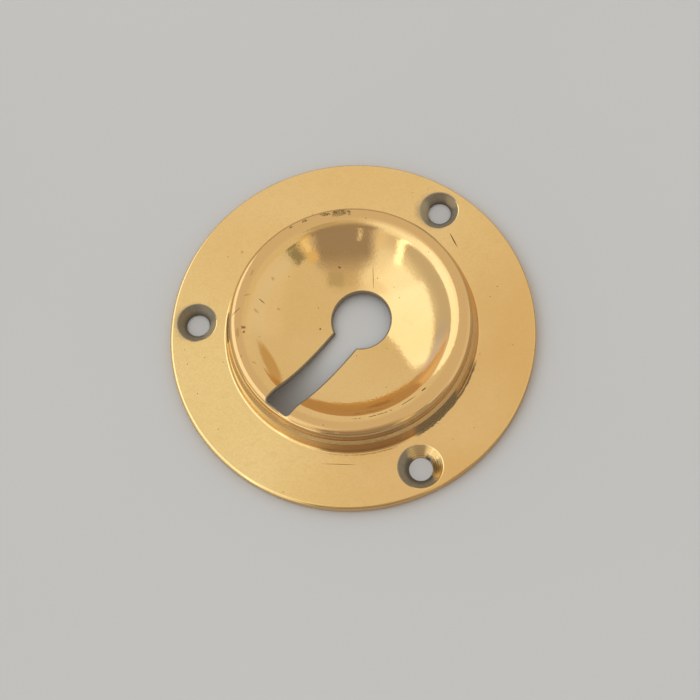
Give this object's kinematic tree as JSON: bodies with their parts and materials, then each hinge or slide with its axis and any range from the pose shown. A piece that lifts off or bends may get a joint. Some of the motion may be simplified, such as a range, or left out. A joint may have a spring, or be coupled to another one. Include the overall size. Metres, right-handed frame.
{
  "type": "keyhole escutcheon",
  "caption": "Round brass keyhole escutcheon: a flat flange with countersunk screw holes and a raised boss with a rolled rim, whose dished face guides a key into the keyhole.",
  "frame": {"origin": "middle of the flange's back face, on the axis of the turned form", "axes": "+Z out of the door along the axis; the keyhole's slot points down along -Y; +X to the right as seen from the front"},
  "size_m": [0.055, 0.055, 0.007],
  "materials": {
    "brass": "polished, with tarnish in the countersinks and at the foot of the boss"
  },
  "bodies": {
    "root": {"escutcheon_plate": "brass"}
  },
  "joints": []
}
